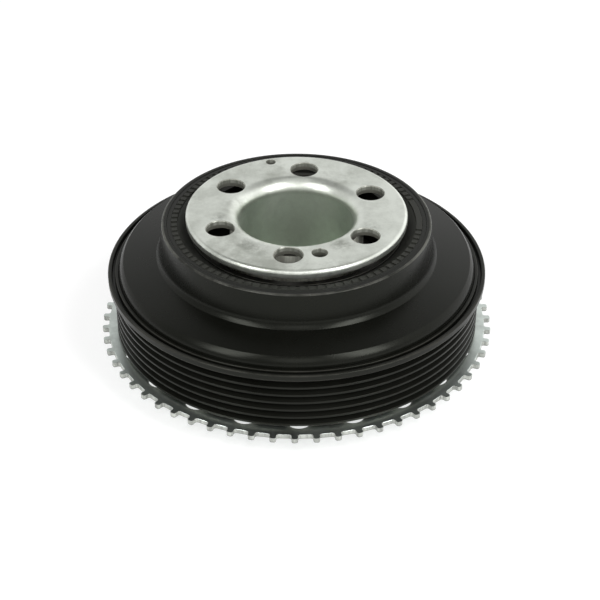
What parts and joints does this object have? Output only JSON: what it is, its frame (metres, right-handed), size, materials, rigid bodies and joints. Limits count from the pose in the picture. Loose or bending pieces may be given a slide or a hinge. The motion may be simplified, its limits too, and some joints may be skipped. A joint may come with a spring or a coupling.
{
  "type": "harmonic balancer",
  "caption": "Decoupled crankshaft pulley: ribbed belt rim, black pressed carrier on a rubber decoupler, flanged bolt-on cup, toothed trigger wheel and a rear seal tube.",
  "frame": {"origin": "centre of the hub tube's end face, where the part rests, on the axis of rotation", "axes": "+Z along the axis of rotation towards the front of the engine; +Y points almost at the gap in the teeth; +X completes the frame"},
  "size_m": [0.1642, 0.1642, 0.0655],
  "materials": {
    "zinc_steel": "bright zinc plate, slightly mottled",
    "machined_steel": "turned, darkened",
    "dark_steel": "dark phosphated",
    "black_paint": "semi-gloss black coat",
    "grey_iron": "turned",
    "bearing_plastic": "matt",
    "black_rubber": "matt moulded"
  },
  "bodies": {
    "root": {"hub": "machined_steel", "front_cup": "zinc_steel", "trigger_wheel": "zinc_steel", "damper_rubber": "black_rubber", "inertia_ring": "grey_iron", "bearing_bush": "bearing_plastic", "slide_ring": "bearing_plastic", "belt_pulley": "black_paint", "pulley_carrier": "black_paint", "decoupler_outer_sleeve": "dark_steel", "decoupler_rubber": "black_rubber", "decoupler_inner_sleeve": "dark_steel"}
  },
  "joints": []
}
